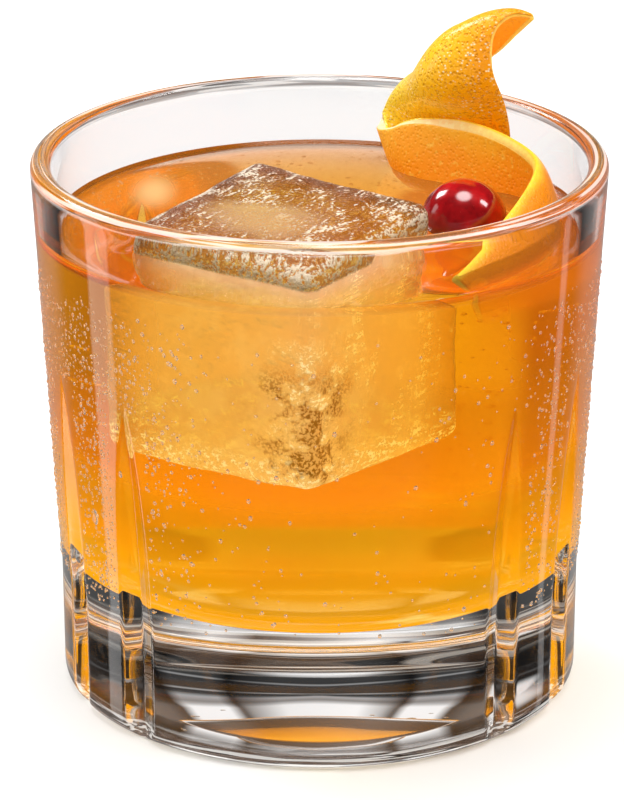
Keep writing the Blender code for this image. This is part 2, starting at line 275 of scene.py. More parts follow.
NEAR_HEIGHTS = (-0.33, -0.37)
FAR_CROSSINGS = (2.0, 3.0)    # surfaces of glass or drink that a view has crossed
FOOT_LOWEST = (-0.30, -0.27)
FOOT_HIGHEST = (0.06, 0.02)
UPPER_HEIGHTS = (0.02, 0.06)
RAY_KINDS = ("Is Camera Ray", "Is Reflection Ray", "Is Glossy Ray", "Is Transmission Ray", "Glossy Depth",
             "Transmission Depth")
BACKDROP_HEIGHTS = (          # how bright the backdrop is at each height behind the glass
    (-0.31, 1.0), (-0.27, 0.0), (0.02, 0.25), (0.035, 0.97), (0.155, 0.97), (0.175, 0.05),
    (0.235, 0.04), (0.25, 0.35), (0.265, 0.04), (0.40, 0.04), (0.415, 0.40), (0.43, 0.03), (0.46, 0.06),
    (0.49, 0.42), (0.53, 0.25), (0.57, 0.60), (0.60, 1.0), (0.69, 1.0), (0.74, 0.10), (1.0, 0.10),
)
SILVER_WIDTHS = (             # how bright its foot is at each azimuth
    (-40.0, 0.25), (-28.0, 0.05), (-19.0, 0.06), (-12.0, 0.65), (-8.0, 0.90), (-4.0, 0.72), (0.0, 0.46),
    (5.0, 0.22), (9.0, 0.08), (12.0, 0.50), (16.0, 0.85), (21.0, 0.30), (28.0, 0.06), (40.0, 0.25),
)
PANEL_WIDTHS = (              # how much of its upper part shows at each azimuth
    (-60.0, 0.25), (-30.0, 0.12), (-25.0, 0.05), (-22.0, 0.98), (-14.5, 0.98), (-12.5, 0.05), (-10.0, 0.55),
    (-6.0, 1.0), (5.0, 0.90), (11.0, 0.30), (12.5, 0.05), (15.0, 0.98), (23.0, 0.98), (26.0, 0.05),
    (30.0, 0.12), (60.0, 0.25),
)

# Camera
CAMERA_PLACE = Vector((0.0, -0.6674, 0.3007))
CAMERA_PITCH = math.radians(20.71)
CAMERA_FOCAL_PIXELS = 4254.0
FRAME_HEIGHT_PIXELS = 800.0
AXIS_OFFSET_PIXELS = 7.5      # the glass's axis lies this far right of the frame's middle
SENSOR = 36.0


class Value:
    """A number on a shader socket: arithmetic on it adds Math nodes to the same finish."""

    def __init__(self, finish, socket):
        self.finish = finish
        self.socket = socket

    def __add__(self, other):
        return self.finish.maths("ADD", self, other)

    def __radd__(self, other):
        return self.finish.maths("ADD", other, self)

    def __sub__(self, other):
        return self.finish.maths("SUBTRACT", self, other)

    def __rsub__(self, other):
        return self.finish.maths("SUBTRACT", other, self)

    def __mul__(self, other):
        return self.finish.maths("MULTIPLY", self, other)

    def __rmul__(self, other):
        return self.finish.maths("MULTIPLY", other, self)

    def __truediv__(self, other):
        return self.finish.maths("DIVIDE", self, other)

    def __pow__(self, other):
        return self.finish.maths("POWER", self, other)

    def __abs__(self):
        return self.finish.maths("ABSOLUTE", self)


class Finish:
    """A material, or the world, in the making."""

    def __init__(self, owner):
        owner.use_nodes = True
        self.owner = owner
        self.tree = owner.node_tree
        self.tree.nodes.clear()

    def add(self, kind, settings=None, sockets=None, output=0):
        """Adds a node with its settings and the values or links of its sockets, and returns an output."""
        node = self.tree.nodes.new(kind)
        for name, value in (settings or {}).items():
            if name == "stops":
                self.set_stops(node.color_ramp, value)
            else:
                setattr(node, name, value)
        for key, value in (sockets or {}).items():
            if isinstance(value, Value):
                self.tree.links.new(value.socket, node.inputs[key])
            else:
                node.inputs[key].default_value = value
        return Value(self, node.outputs[output]) if node.outputs else None

    def set_stops(self, ramp, stops):
        """Gives a ramp its stops, each a position and a colour."""
        while len(ramp.elements) > len(stops):
            ramp.elements.remove(ramp.elements[-1])
        while len(ramp.elements) < len(stops):
            ramp.elements.new(1.0)
        for element, (position, tint) in zip(ramp.elements, stops):
            element.position = position
            element.color = (*tint, 1.0)

    def maths(self, operation, *values):
        return self.add("ShaderNodeMath", {"operation": operation}, dict(enumerate(values)))

    def largest(self, first, *others):
        for other in others:
            first = self.maths("MAXIMUM", first, other)
        return first

    def span(self, across, along):
        """How far a flat pair of numbers is from zero."""
        return (across * across + along * along) ** 0.5

    def band(self, value, low, high):
        """Rises smoothly from 0 to 1 as the value goes from low to high, which may be the smaller."""
        sockets = {"Value": value, "From Min": low, "From Max": high}
        return self.add("ShaderNodeMapRange", {"interpolation_type": "SMOOTHSTEP"}, sockets)

    def place(self):
        """Where a point is on its own piece, in metres."""
        return self.add("ShaderNodeTexCoord", output=3)

    def parts(self, vector):
        """The three numbers of a vector."""
        node = self.add("ShaderNodeSeparateXYZ", None, {0: vector}).socket.node
        return [Value(self, socket) for socket in node.outputs]

    def stretched(self, vector, scale):
        return self.add("ShaderNodeVectorMath", {"operation": "MULTIPLY"}, {0: vector, 1: scale})

    def grain(self, vector, scale, detail=3.0, roughness=0.5):
        """Noise from 0 to 1 with the given number of features to the metre."""
        sockets = {"Vector": vector, "Scale": scale, "Detail": detail, "Roughness": roughness}
        return self.add("ShaderNodeTexNoise", None, sockets)

    def cells(self, vector, scale):
        """Distance to the nearest point of a scatter, such as pores."""
        return self.add("ShaderNodeTexVoronoi", {"feature": "F1"}, {"Vector": vector, "Scale": scale})

    def ramp(self, value, stops):
        return self.add("ShaderNodeValToRGB", {"stops": stops}, {"Fac": value})

    def tones(self, value, *stops):
        """A ramp through colours as on screen: each stop is a position, a red, a green and a blue."""
        return self.ramp(value, [(position, colour(*levels)[:3]) for position, *levels in stops])

    def profile(self, value, stops):
        """A line through stops, each a value and a level from 0 to 1."""
        first, last = stops[0][0], stops[-1][0]
        share = (value - first) / (last - first)
        return self.ramp(share, [((at - first) / (last - first), (level,) * 3) for at, level in stops])

    def blend(self, factor, first, second):
        """Mixes two colours."""
        return self.add("ShaderNodeMix", {"data_type": "RGBA"}, {0: factor, 6: first, 7: second}, output=2)

    def bump(self, height, strength, distance):
        sockets = {"Height": height, "Strength": strength, "Distance": distance}
        return self.add("ShaderNodeBump", None, sockets)

    def surface(self, sockets):
        return self.add("ShaderNodeBsdfPrincipled", None, sockets)

    def clear(self, ior, normal, tint=WHITE, roughness=0.0):
        """A see-through surface, as of glass, water or ice."""
        return self.surface({
            "Base Color": tint,
            "Roughness": roughness,
            "IOR": ior,
            "Transmission Weight": 1.0,
            "Normal": normal,
        })

    def mix_shaders(self, factor, first, second):
        return self.add("ShaderNodeMixShader", None, {0: factor, 1: first, 2: second})

    def lets_lamps_through(self, shader, share):
        """Lets this share of the lamps' light straight through a clear piece, so that its shadow is pale."""
        is_shadow = self.add("ShaderNodeLightPath", output=1)
        through = self.add("ShaderNodeBsdfTransparent", None, {"Color": (share, share, share, 1.0)})
        return self.mix_shaders(is_shadow, shader, through)

    def output(self, shader, volume=None):
        sockets = {"Surface": shader}
        if volume is not None:
            sockets["Volume"] = volume
        self.add("ShaderNodeOutputMaterial", None, sockets)
        self.owner.cycles.emission_sampling = "NONE"
        return self.owner


def colour(red, green, blue):
    """A colour given as on screen, from 0 to 255, as the shaders take it."""
    levels = []
    for level in (red, green, blue):
        share = level / 255
        levels.append(share / 12.92 if share <= 0.04045 else ((share + 0.055) / 1.055) ** 2.4)
    return (*levels, 1.0)


# ---------------------------------------------------------------- finishes

def glass_finish():
    """Clear pressed glass with the faint waves of its mould, glowing lines of painted highlight round its
    lip, and painted highlight and warm painted reflection round its heel.
    """
    finish = Finish(bpy.data.materials.new("clear_glass"))
    place = finish.place()
    x, y, height = finish.parts(place)
    radius = finish.span(x, y)
    normal = finish.bump(finish.grain(place, scale=60.0, detail=1.0), strength=0.12, distance=0.4 * MM)
    clear = finish.clear(GLASS_IOR, normal)
    round_about = finish.add("ShaderNodeCombineXYZ", None, {0: radius, 1: height, 2: x * 0.04})
    lines = finish.grain(round_about, scale=1500.0, detail=1.0, roughness=0.6)
    heel = finish.band(height, *HEEL_HIGHLIGHT_HEIGHTS) * finish.band(radius, *HEEL_HIGHLIGHT_RADII)
    lip = finish.band(height, *LIP_HIGHLIGHT_HEIGHTS)
    # Painted light in the lines: a white painted highlight at the lip and a warm-to-white painted reflection
    # at the heel; their brown-to-white colour is painted reflection too
    light = finish.ramp(lines, ((0.44, (0.0, 0.0, 0.0)), (0.56, (1.0, 0.99, 0.97))))
    warm_reflection = finish.ramp(lines, (
        (0.42, (0.0, 0.0, 0.0)),
        (0.50, colour(196, 110, 40)[:3]),
        (0.56, (1.0, 0.95, 0.88)),
    ))
    painted_lines = finish.surface({
        "Base Color": finish.tones(lines, (0.40, 110, 84, 66), (0.52, 255, 253, 250)),
        "Roughness": 0.3,
        "Emission Color": finish.blend(heel, light, warm_reflection),
        "Emission Strength": PAINTED_LINE_GLOW,
        "Normal": normal,
    })
    contrast = finish.band(abs(lines - 0.5), 0.015, 0.07)
    shader = finish.mix_shaders((lip * LIP_HIGHLIGHT_LINES + heel * HEEL_HIGHLIGHT_LINES) * contrast, clear, painted_lines)
    return finish.output(finish.lets_lamps_through(shader, 0.97))


def surface_colour(finish, x, y, radius, drift):
    """The drink's surface: tan, with a painted pale sheen at the back left and a painted dark line of shade
    at the back wall.
    """
    across = (x - SHEEN_CENTRE[0]) / SHEEN_SIZE[0]
    back = (y - SHEEN_CENTRE[1]) / SHEEN_SIZE[1]
    sheen = finish.band(finish.span(across, back), 1.3, 0.1)
    skin = finish.blend(sheen * 0.8, colour(198, 122, 48), colour(255, 226, 160))
    contact_shade = finish.band(radius + (drift - 0.5) * CONTACT_WANDER, *CONTACT_RADII)
    return finish.blend(contact_shade * finish.band(y, *CONTACT_PLACES) * 0.75, skin, colour(96, 56, 26))


def drink_finish():
    """Amber drink: cloudy at its wall, floor and top, and clear round the ice, which shows through it. Its
    cloud glows with painted light, brighter low down, with painted glints near the floor.
    """
    finish = Finish(bpy.data.materials.new("amber_drink"))
    place = finish.place()
    x, y, height = finish.parts(place)
    radius = finish.span(x, y)
    top = finish.band(height, *SURFACE_HEIGHTS)
    normal = finish.bump(finish.grain(place, scale=60.0, detail=2.0) * top, strength=0.10, distance=0.5 * MM)
    drift = finish.grain(place, scale=40.0, roughness=0.55)
    redder = finish.band(x, *REDDER_PLACES) * finish.band(height, *REDDER_HEIGHTS)
    golden = finish.band(height, *GOLDEN_HEIGHTS)
    body = finish.tones(drift, (0.30, 253, 158, 4), (0.70, 254, 172, 7))
    body = finish.blend(redder, body, colour(250, 126, 0))
    body = finish.blend(golden, body, colour(255, 174, 8))
    glint_noise = finish.grain(finish.stretched(place, (1.0, 1.0, 7.0)), scale=45.0, roughness=0.6)
    glints = finish.band(glint_noise, 0.56, 0.70) * finish.band(height, *GLINT_HEIGHTS)
    # Painted glow in the body colour, brighter low down, and painted glints of pale light near the floor
    painted_glow = finish.blend(finish.band(height, *LIT_HEIGHTS) * 0.52 + 0.45, BLACK, body)
    painted_glow = finish.blend(glints, painted_glow, colour(255, 232, 120))
    cloud = finish.surface({
        "Base Color": finish.blend(top, body, surface_colour(finish, x, y, radius, drift)),
        "Roughness": 0.9,
        "Specular IOR Level": 0.0,
        "Normal": normal,
        "Emission Color": finish.blend(top, painted_glow, BLACK),
        "Emission Strength": DRINK_GLOW,
    })
    floor = finish.band(height, *FLOOR_HEIGHTS)
    settled = floor * finish.band(radius, *FLOOR_RADII) * FLOOR_CLOUD
    settled = settled + (1.0 - floor) * finish.band(height, *SETTLED_HEIGHTS) * SETTLED_CLOUD
    behind = top * finish.band(y, *BEHIND_PLACES) * SURFACE_CLOUD
    sides = finish.band(radius, *WALL_RADII) * (1.0 - top) * (redder * REDDER_CLOUD + WALL_CLOUD)
    cloudiness = finish.largest(settled, behind, sides) + drift * DRIFTING_CLOUD
    shader = finish.mix_shaders(cloudiness, finish.clear(DRINK_IOR, normal), cloud)
    sockets = {"Color": DRINK_TINT, "Density": DRINK_DENSITY}
    volume = finish.add("ShaderNodeVolumeAbsorption", None, sockets)
    return finish.output(finish.lets_lamps_through(shader, 0.97), volume)


def smooth_patch(finish, x, y, patches):
    """How rough the ice's top is: it has melted smooth in the middle."""
    across = (x - ICE_SMOOTH_PATCH[0]) / ICE_SMOOTH_PATCH[2]
    along = (y - ICE_SMOOTH_PATCH[1]) / ICE_SMOOTH_PATCH[3]
    return finish.band(finish.span(across, along) + (patches - 0.5) * 1.6, 0.20, 1.50)


def sunk_marks(finish, place, pits, patches, dry):
    """Marks on the sunk part: its near corner's seam, dark brown patches beside it, streaks and the melted
    foot; the seam and the foot also carry painted hot spots.
    """
    x, y, z = finish.parts(place)
    corner = finish.largest(ICE_HALF - x, ICE_HALF + y)
    clumps = finish.grain(place, scale=210.0, roughness=0.6)
    seam = finish.band(corner + (patches - 0.5) * SEAM_WANDER, *SEAM_WIDTHS)
    seam = seam * finish.band(z, *SEAM_DEPTHS) * finish.band(clumps, 0.42, 0.60)
    dark_patches = finish.band(corner, *DARK_PATCH_WIDTHS) * finish.band(clumps, 0.56, 0.42)
    dark_patches = dark_patches * finish.band(z, *DARK_PATCH_DEPTHS) * (1.0 - dry)
    dark = dark_patches * finish.band(pits, 0.44, 0.54)
    grooves = finish.grain(finish.stretched(place, (1.0, 1.0, 0.35)), scale=260.0, detail=4.0, roughness=0.6)
    streaks = finish.band(x, *RIGHT_FACE) * finish.band(grooves, 0.50, 0.64)
    foot = finish.band(z + (patches - 0.5) * FOOT_WANDER, *FOOT_DEPTHS)
    return seam, dark_patches, dark, streaks, foot


def ice_finish():
    """Wet ice: pitted and frosted where it is dry, with a smooth melted patch on top. Below the surface its
    frost glows with painted light, with painted hot spots along the seam and the foot.
    """
    finish = Finish(bpy.data.materials.new("wet_ice"))
    place = finish.place()
    x, y, _ = finish.parts(place)
    upwards = ice_matrix().to_3x3().inverted() @ Vector((0.0, 0.0, 1.0))
    settings = {"operation": "DOT_PRODUCT"}
    height = finish.add("ShaderNodeVectorMath", settings, {0: place, 1: upwards}, output=1)
    dry = finish.band(height, *ICE_DRY_HEIGHTS)
    pits = finish.grain(place, scale=1900.0, roughness=0.6)
    scratches = finish.grain(finish.stretched(place, (1.0, 0.3, 1.0)), scale=1100.0, roughness=0.65)
    patches = finish.grain(place, scale=150.0, detail=4.0, roughness=0.55)
    rough = smooth_patch(finish, x, y, patches)
    seam, dark_patches, dark, streaks, foot = sunk_marks(finish, place, pits, patches, dry)
    sunk = (1.0 - dry) * finish.largest(seam, streaks * 0.4, foot * 0.8)
    texture = pits * 0.7 + scratches * 0.7
    pitted = (rough * 0.85 + 0.15) * dry
    normal = finish.bump(texture * (pitted + sunk * 0.30), strength=1.0, distance=ICE_BUMP)
    brown = finish.band(pits + (patches - 0.5) * 0.5, 0.58, 0.46) * rough
    tint = finish.blend(brown, colour(252, 226, 196), colour(190, 122, 62))
    tint = finish.blend(dry, finish.blend(dark_patches, WHITE, colour(190, 130, 60)), tint)
    clear = finish.clear(ICE_IOR, normal, tint, pitted * 0.10)
    glints = finish.band(pits * 0.5 + scratches * 0.5, 0.50, 0.60)
    # Painted hot spots of light along the seam and the foot, over a painted pale glow on the rest of the sunk
    # frost
    painted_hot_spots = finish.blend(finish.largest(seam, foot) * glints, colour(255, 230, 184), (1.0, 1.0, 0.92, 1.0))
    painted_hot_spots = finish.blend(dark, painted_hot_spots, BLACK)
    sunk_pale = finish.blend(dark, colour(255, 230, 184), colour(92, 58, 18))
    dry_pale = finish.blend(rough, colour(248, 214, 164), colour(255, 240, 214))
    frost = finish.surface({
        "Base Color": finish.blend(dry, sunk_pale, dry_pale),
        "Roughness": 0.35,
        "Normal": normal,
        "Emission Color": finish.blend(dry, painted_hot_spots, BLACK),
        "Emission Strength": ICE_GLOW,
    })
    edge = finish.band(finish.largest(abs(x), abs(y)), *ICE_EDGE)
    crystals = scratches * 0.55 + pits * 0.45 + (patches - 0.5) * 0.45 + edge * 0.06
    crystals = finish.band(crystals, 0.52, 0.62)
    dry_frost = dry * ((1.0 - rough) * (pits * 0.3 + 0.12) + rough * crystals * 0.72)
    inwards = finish.band(x, -INWARDS[0], -INWARDS[1]) * finish.band(y, *INWARDS)
    sunk_frost = seam * (glints * 0.75 + 0.2) + foot * glints * 0.9 + streaks * glints * 0.6
    sunk_frost = sunk_frost + inwards * (finish.band(patches, 0.45, 0.65) * 0.12 + 0.30) + 0.05
    sunk_frost = finish.largest(sunk_frost, dark * 0.8)
    shader = finish.mix_shaders(dry_frost + (1.0 - dry) * sunk_frost, clear, frost)
    return finish.output(finish.lets_lamps_through(shader, 0.95))


def cherry_finish():
    """Glossy dark red skin, brighter where light gets into the flesh."""
    finish = Finish(bpy.data.materials.new("cherry_skin"))
    place = finish.place()
    mottle = finish.grain(place, scale=260.0, detail=4.0, roughness=0.6)
    skin = finish.tones(mottle, (0.30, 124, 0, 5), (0.55, 178, 2, 10), (0.78, 214, 14, 20))
    freckles = finish.band(finish.cells(place, scale=900.0), 0.12, 0.02)
    wrinkles = finish.grain(finish.stretched(place, (1.0, 1.0, 0.4)), scale=500.0)
    return finish.output(finish.surface({
        "Base Color": finish.blend(freckles * 0.5, skin, colour(210, 60, 50)),
        "Roughness": mottle * 0.18 + 0.08,
        "IOR": 1.45,
        "Coat Weight": 1.0,
        "Coat Roughness": 0.03,
        "Normal": finish.bump(wrinkles, strength=0.25, distance=0.12 * MM),
    }))


def zest_colour(finish, place, across, along, drift, pits):
    """The rind's outside: yellower along one edge, deeper orange low down, with pores and painted sparkles of
    highlight where it is wet.
    """
    high_tones = ((0.15, 254, 160, 2), (0.50, 255, 192, 14), (0.80, 255, 208, 36), (0.97, 255, 220, 60))
    low_tones = ((0.30, 252, 120, 0), (0.84, 255, 148, 0), (0.97, 255, 206, 50))
    zest = finish.tones(across + drift * 0.5, *high_tones)
    low_zest = finish.tones(across + drift * 0.3, *low_tones)
    zest = finish.blend(finish.band(along, 0.36, 0.44), zest, low_zest)
    pores = finish.band(pits, 0.36, 0.05)
    zest = finish.blend(pores * finish.band(along, 0.60, 0.45) * 0.25, zest, colour(244, 122, 0))
    # Painted sparkles of highlight on the wet zest
    painted_sparkles = finish.band(finish.cells(finish.stretched(place, (1.0, 1.0, 1.3)), scale=1250.0), 0.36, 0.14)
    lit = finish.band(finish.grain(place, scale=120.0, detail=2.0), 0.36, 0.56)
    lit = lit * finish.band(along, 0.36, 0.30)
    return finish.blend(painted_sparkles * lit * 0.85, zest, colour(255, 246, 206))


def inner_colour(finish, across, along, drift, speckle):
    """The rind's inner side, which is paler at the tip."""
    inner = finish.tones(across + drift * 0.6, (0.10, 252, 130, 0), (0.70, 254, 150, 8), (1.00, 254, 176, 34))
    inner = finish.blend(finish.band(speckle, 0.56, 0.68) * 0.6, inner, colour(255, 196, 70))
    return finish.blend(finish.band(along, 0.27, 0.20), inner, colour(252, 176, 44))


def cut_colour(finish, along, drift, speckle):
    """The pith along the cut edges: cream where it is thick, yellow where it is thin."""
    tones = ((0.22, 252, 196, 60), (0.36, 242, 226, 186), (0.50, 246, 222, 160), (0.60, 252, 214, 110),
             (0.72, 253, 206, 74))
    cut = finish.tones(along + drift * 0.10, *tones)
    return finish.blend(finish.band(speckle, 0.60, 0.40) * 0.30, cut, colour(238, 176, 70))


def peel_finish():
    """Orange rind: dimpled zest that is yellower along one edge, orange inner side and a pale cut. It glows a
    little with painted light in its own colour.
    """
    finish = Finish(bpy.data.materials.new("orange_rind"))
    place = finish.place()
    rind, across, along = [finish.add("ShaderNodeAttribute", {"attribute_name": name}, output=2)
                           for name in ("rind", "across", "along")]
    drift = finish.grain(place, scale=90.0) - 0.5
    speckle = finish.grain(place, scale=900.0, roughness=0.6)
    pits = finish.cells(place, scale=1500.0)
    near_zest = finish.band(rind, 0.30, 0.10)
    near_inner = finish.band(rind, 0.86, 0.97)
    zest = zest_colour(finish, place, across, along, drift, pits)
    skin = finish.blend(near_zest, cut_colour(finish, along, drift, speckle), zest)
    skin = finish.blend(near_inner, skin, inner_colour(finish, across, along, drift, speckle))
    depth = near_zest * (0.95 - finish.band(along, 0.45, 0.60) * 0.7) + near_inner * 0.35
    dimples = finish.band(pits, 0.0, 0.55) * depth
    return finish.output(finish.surface({
        "Base Color": skin,
        "Roughness": 0.45 - near_zest * 0.15,
        "IOR": 1.45,
        "Coat Weight": near_zest * 0.25 + near_inner * 0.15,
        "Coat Roughness": 0.12,
        "Alpha": finish.band(finish.parts(place)[2], *PEEL_SHOWING),
        "Emission Color": skin,
        "Emission Strength": PEEL_GLOW,
        "Normal": finish.bump(dimples + speckle * 0.35, strength=1.0, distance=0.32 * MM),
    }))


def droplet_finish(name):
    """Water beads on the cold glass, with a little painted sheen that glows."""
    finish = Finish(bpy.data.materials.new(name))
    ripples = finish.grain(finish.place(), scale=800.0, detail=1.0)
    normal = finish.bump(ripples, strength=0.05, distance=0.05 * MM)
    # A painted white sheen that glows, mixed into the clear water
    sheen = finish.surface({
        "Base Color": WHITE,
        "Roughness": 0.4,
        "Normal": normal,
        "Emission Color": (1.0, 0.90, 0.70, 1.0),
        "Emission Strength": BEAD_GLOW,
    })
    shader = finish.mix_shaders(BEAD_SHEEN, finish.clear(BEAD_IOR, normal), sheen)
    return finish.output(finish.lets_lamps_through(shader, 0.98))


def floor_finish():
    finish = Finish(bpy.data.materials.new("pale_floor"))
    tone = finish.grain(finish.place(), scale=3.0, detail=2.0)
    paint = finish.ramp(tone, ((0.0, (0.86, 0.86, 0.86)), (1.0, (0.90, 0.90, 0.90))))
    return finish.output(finish.surface({"Base Color": paint, "Roughness": 0.8, "IOR": 1.2}))


# ---------------------------------------------------------------- shapes

def add_object(name, data):
    thing = bpy.data.objects.new(name, data)
    bpy.context.scene.collection.objects.link(thing)
    return thing


def add_piece(name, mesh, finish, slot, *replaced):
    """Adds a smooth-shaded mesh as a piece of the object, in place of CAD nodes if they are named."""
    mesh.shade_smooth()
    mesh.materials.append(finish)
    piece = add_object(name, mesh)
    if replaced:
        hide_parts(*replaced)
    return piece


def mesh_piece(name, points, faces, finish, slot, *replaced):
    """Makes a piece of the object from points and faces."""
    mesh = bpy.data.meshes.new(name)
    mesh.from_pydata([tuple(point) for point in points], [], faces)
    mesh.update()
    return add_piece(name, mesh, finish, slot, *replaced)


def arc(centre, radius, start, end, steps):
    """Points on an arc of a half outline, from one angle to another, in degrees from +X."""
    points = []
    for step in range(steps + 1):
        angle = math.radians(start + (end - start) * step / steps)
        points.append((centre[0] + radius * math.cos(angle), centre[1] + radius * math.sin(angle)))
    return points


def run(first, last, steps):
    """Points after the first and before the last of a straight stretch."""
    points = []
    for step in range(1, steps):
        share = step / steps
        points.append((first[0] + (last[0] - first[0]) * share, first[1] + (last[1] - first[1]) * share))
    return points


def outer_radius(height):
    if height <= WAIST_HEIGHT:
        return HEEL_RADIUS + (WAIST_RADIUS - HEEL_RADIUS) * height / WAIST_HEIGHT
    share = (height - WAIST_HEIGHT) / (GLASS_HEIGHT - WAIST_HEIGHT)
    return WAIST_RADIUS + (RIM_RADIUS - WAIST_RADIUS) * share


def inner_radius(height):
    """The straight wall inside, from the top of the rounded corner to the lip."""
    bottom = FLOOR_HEIGHT + FLOOR_ROUND
    narrow = outer_radius(bottom) - FLOOR_WALL
    share = (height - bottom) / (GLASS_HEIGHT - LIP_WALL / 2 - bottom)
    return narrow + (RIM_RADIUS - LIP_WALL - narrow) * share


def bowl_outline(offset):
    """The rounded corner between the glass's inner floor and its wall, moved inwards by an offset."""
    corner_height = FLOOR_HEIGHT + FLOOR_ROUND
    centre = (inner_radius(corner_height) - FLOOR_ROUND, corner_height)
    return arc(centre, FLOOR_ROUND - offset, -90, 0, 18)


def turned_faces(rows, columns):
    """Quads between rings of points that go once round the axis."""
    faces = []
    for row in range(rows - 1):
        for column in range(columns):
            following = (column + 1) % columns
            lower = row * columns
            upper = lower + columns
            faces.append((lower + column, lower + following, upper + following, upper + column))
    return faces


def close_ends(points, faces, columns, first_height, last_height):
    """Closes the first and the last ring with fans round points on the axis."""
    last = len(points) - columns
    middle = len(points)
    points += [(0.0, 0.0, first_height), (0.0, 0.0, last_height)]
    for column in range(columns):
        following = (column + 1) % columns
        faces.append((middle, following, column))
        faces.append((middle + 1, last + column, last + following))


def tumbler_outline():
    """Half outline from near the middle underneath, up the outside, over the lip and down the inside.

    Each point has a radius, a height and whether the flutes may cut it.
    """
    corner = bowl_outline(0.0)
    lip_radius = LIP_WALL / 2
    lip = arc((RIM_RADIUS - lip_radius, GLASS_HEIGHT - lip_radius), lip_radius, 180, 0, 20)
    heel = arc((HEEL_RADIUS - HEEL_ROUND, HEEL_ROUND), HEEL_ROUND, 0, -90, 10)
    plain = [(corner[0][0] * share, FLOOR_HEIGHT) for share in (0.25, 0.5, 0.75)]
    plain += corner + run(corner[-1], lip[0], 14) + lip
    waist = (outer_radius(WAIST_HEIGHT), WAIST_HEIGHT)
    fluted = run(lip[-1], waist, 48) + [waist] + run(waist, heel[0], 14) + heel
    under = []
    for step in range(DOME_STEPS):
        share = 1.0 - step / DOME_STEPS
        under.append((DOME_RADIUS * share, DOME_DEPTH * (1.0 - share ** DOME_POWER)))
    outline = [(radius, height, False) for radius, height in plain]
    outline += [(radius, height, True) for radius, height in fluted]
    outline += [(radius, height, False) for radius, height in under]
    return outline[::-1]


def degrees_apart(first, second):
    return abs((first - second + 180) % 360 - 180)


def flute_columns():
    """The flutes' angles, and all columns round the glass in degrees, close together across each flute."""
    centres = []
    for angle in FLUTE_ANGLES:
        centres += [angle, -angle, 180 - angle, angle - 180]
    angles = set()
    for step in range(round(360 / PLAIN_STEP)):
        angle = step * PLAIN_STEP - 180
        if all(abs(angle - centre) > FLUTE_SPREAD for centre in centres):
            angles.add(round(angle, 4))
    fine_steps = round(FLUTE_SPREAD / FINE_STEP)
    for centre in centres:
        for step in range(-fine_steps, fine_steps + 1):
            angles.add(round(centre + step * FINE_STEP, 4))
    return centres, sorted(angles)


def soft_min(first, second, softness):
    """The smaller of two lengths, rounded where they cross."""
    gap = first - second
    return (first + second - math.sqrt(gap * gap + softness * softness)) / 2


def fluted_radius(radius, height, angle, centres):
    """Outer radius at an angle where V flutes fade out upwards."""
    share = height / FLUTE_TIP_HEIGHT
    if share >= 1.0:
        return radius
    depth = FLUTE_DEPTH * (1.0 - share ** FLUTE_RUN_OUT)
    slope = FLUTE_HALF_WIDTH / FLUTE_DEPTH
    for centre in centres:
        turn = math.radians(degrees_apart(angle, centre))
        if turn < math.radians(FLUTE_REACH):
            turn = math.sqrt(turn * turn + (FLUTE_ROOT * FLUTE_SOFTNESS / radius) ** 2)
            groove = (outer_radius(height) - depth) / (math.cos(turn) - math.sin(turn) / slope)
            blend = min(depth / FLUTE_SOFTNESS, 1.0)
            return soft_min(radius, groove, FLUTE_SOFTNESS * blend)
    return radius


def make_tumbler():
    outline = tumbler_outline()
    centres, angles = flute_columns()
    points = []
    for radius, height, cut in outline:
        for angle in angles:
            turn = math.radians(angle)
            out = fluted_radius(radius, height, angle, centres) if cut else radius
            points.append((out * math.sin(turn), -out * math.cos(turn), height))
    faces = turned_faces(len(outline), len(angles))
    close_ends(points, faces, len(angles), DOME_DEPTH, FLOOR_HEIGHT)
    return mesh_piece("tumbler", points, faces, glass_finish(), "glass", "glass")


def ice_matrix():
    turn = Matrix.Rotation(ICE_TURN, 4, "Z")
    tilt = Matrix.Rotation(ICE_TILT, 4, "X")
    return Matrix.Translation(ICE_TOP) @ tilt @ turn


def ice_mesh(name, shrink):
    """A melted block with its top face's middle at its own origin, made smaller all round by shrink."""
    shape = bmesh.new()
    bmesh.ops.create_cube(shape, size=2.0)
    bmesh.ops.subdivide_edges(shape, edges=shape.edges[:], cuts=ICE_CUTS, use_grid_fill=True)
    half = Vector((ICE_SIDE / 2, ICE_SIDE / 2, ICE_HEIGHT / 2))
    core = half - Vector((ICE_ROUND,) * 3)
    for point in shape.verts:
        at = Vector([math.sin(c * math.pi / 2) * ICE_GATHER + c * (1 - ICE_GATHER) for c in point.co])
        at = Vector([a * b for a, b in zip(at, half)])
        inner = Vector([max(-c, min(c, a)) for a, c in zip(at, core)])
        outward = (at - inner).normalized()
        swell = sum(depth * noise.noise(at * scale + shift) for depth, scale, shift in ICE_SWELLS)
        at = inner + outward * (ICE_ROUND + min(swell, ICE_SWELL_LIMIT) - shrink)
        taper = 1.0 - (1.0 - ICE_MELT) * (0.5 - at.z / ICE_HEIGHT)
        point.co = (at.x * taper, at.y * taper, at.z - ICE_HEIGHT / 2)
    mesh = bpy.data.meshes.new(name)
    shape.to_mesh(mesh)
    shape.free()
    return mesh


def make_ice():
    ice = add_piece("ice_block", ice_mesh("ice_block", 0.0), ice_finish(), "ice", "ice_cube")
    ice.matrix_world = ice_matrix()
    return ice


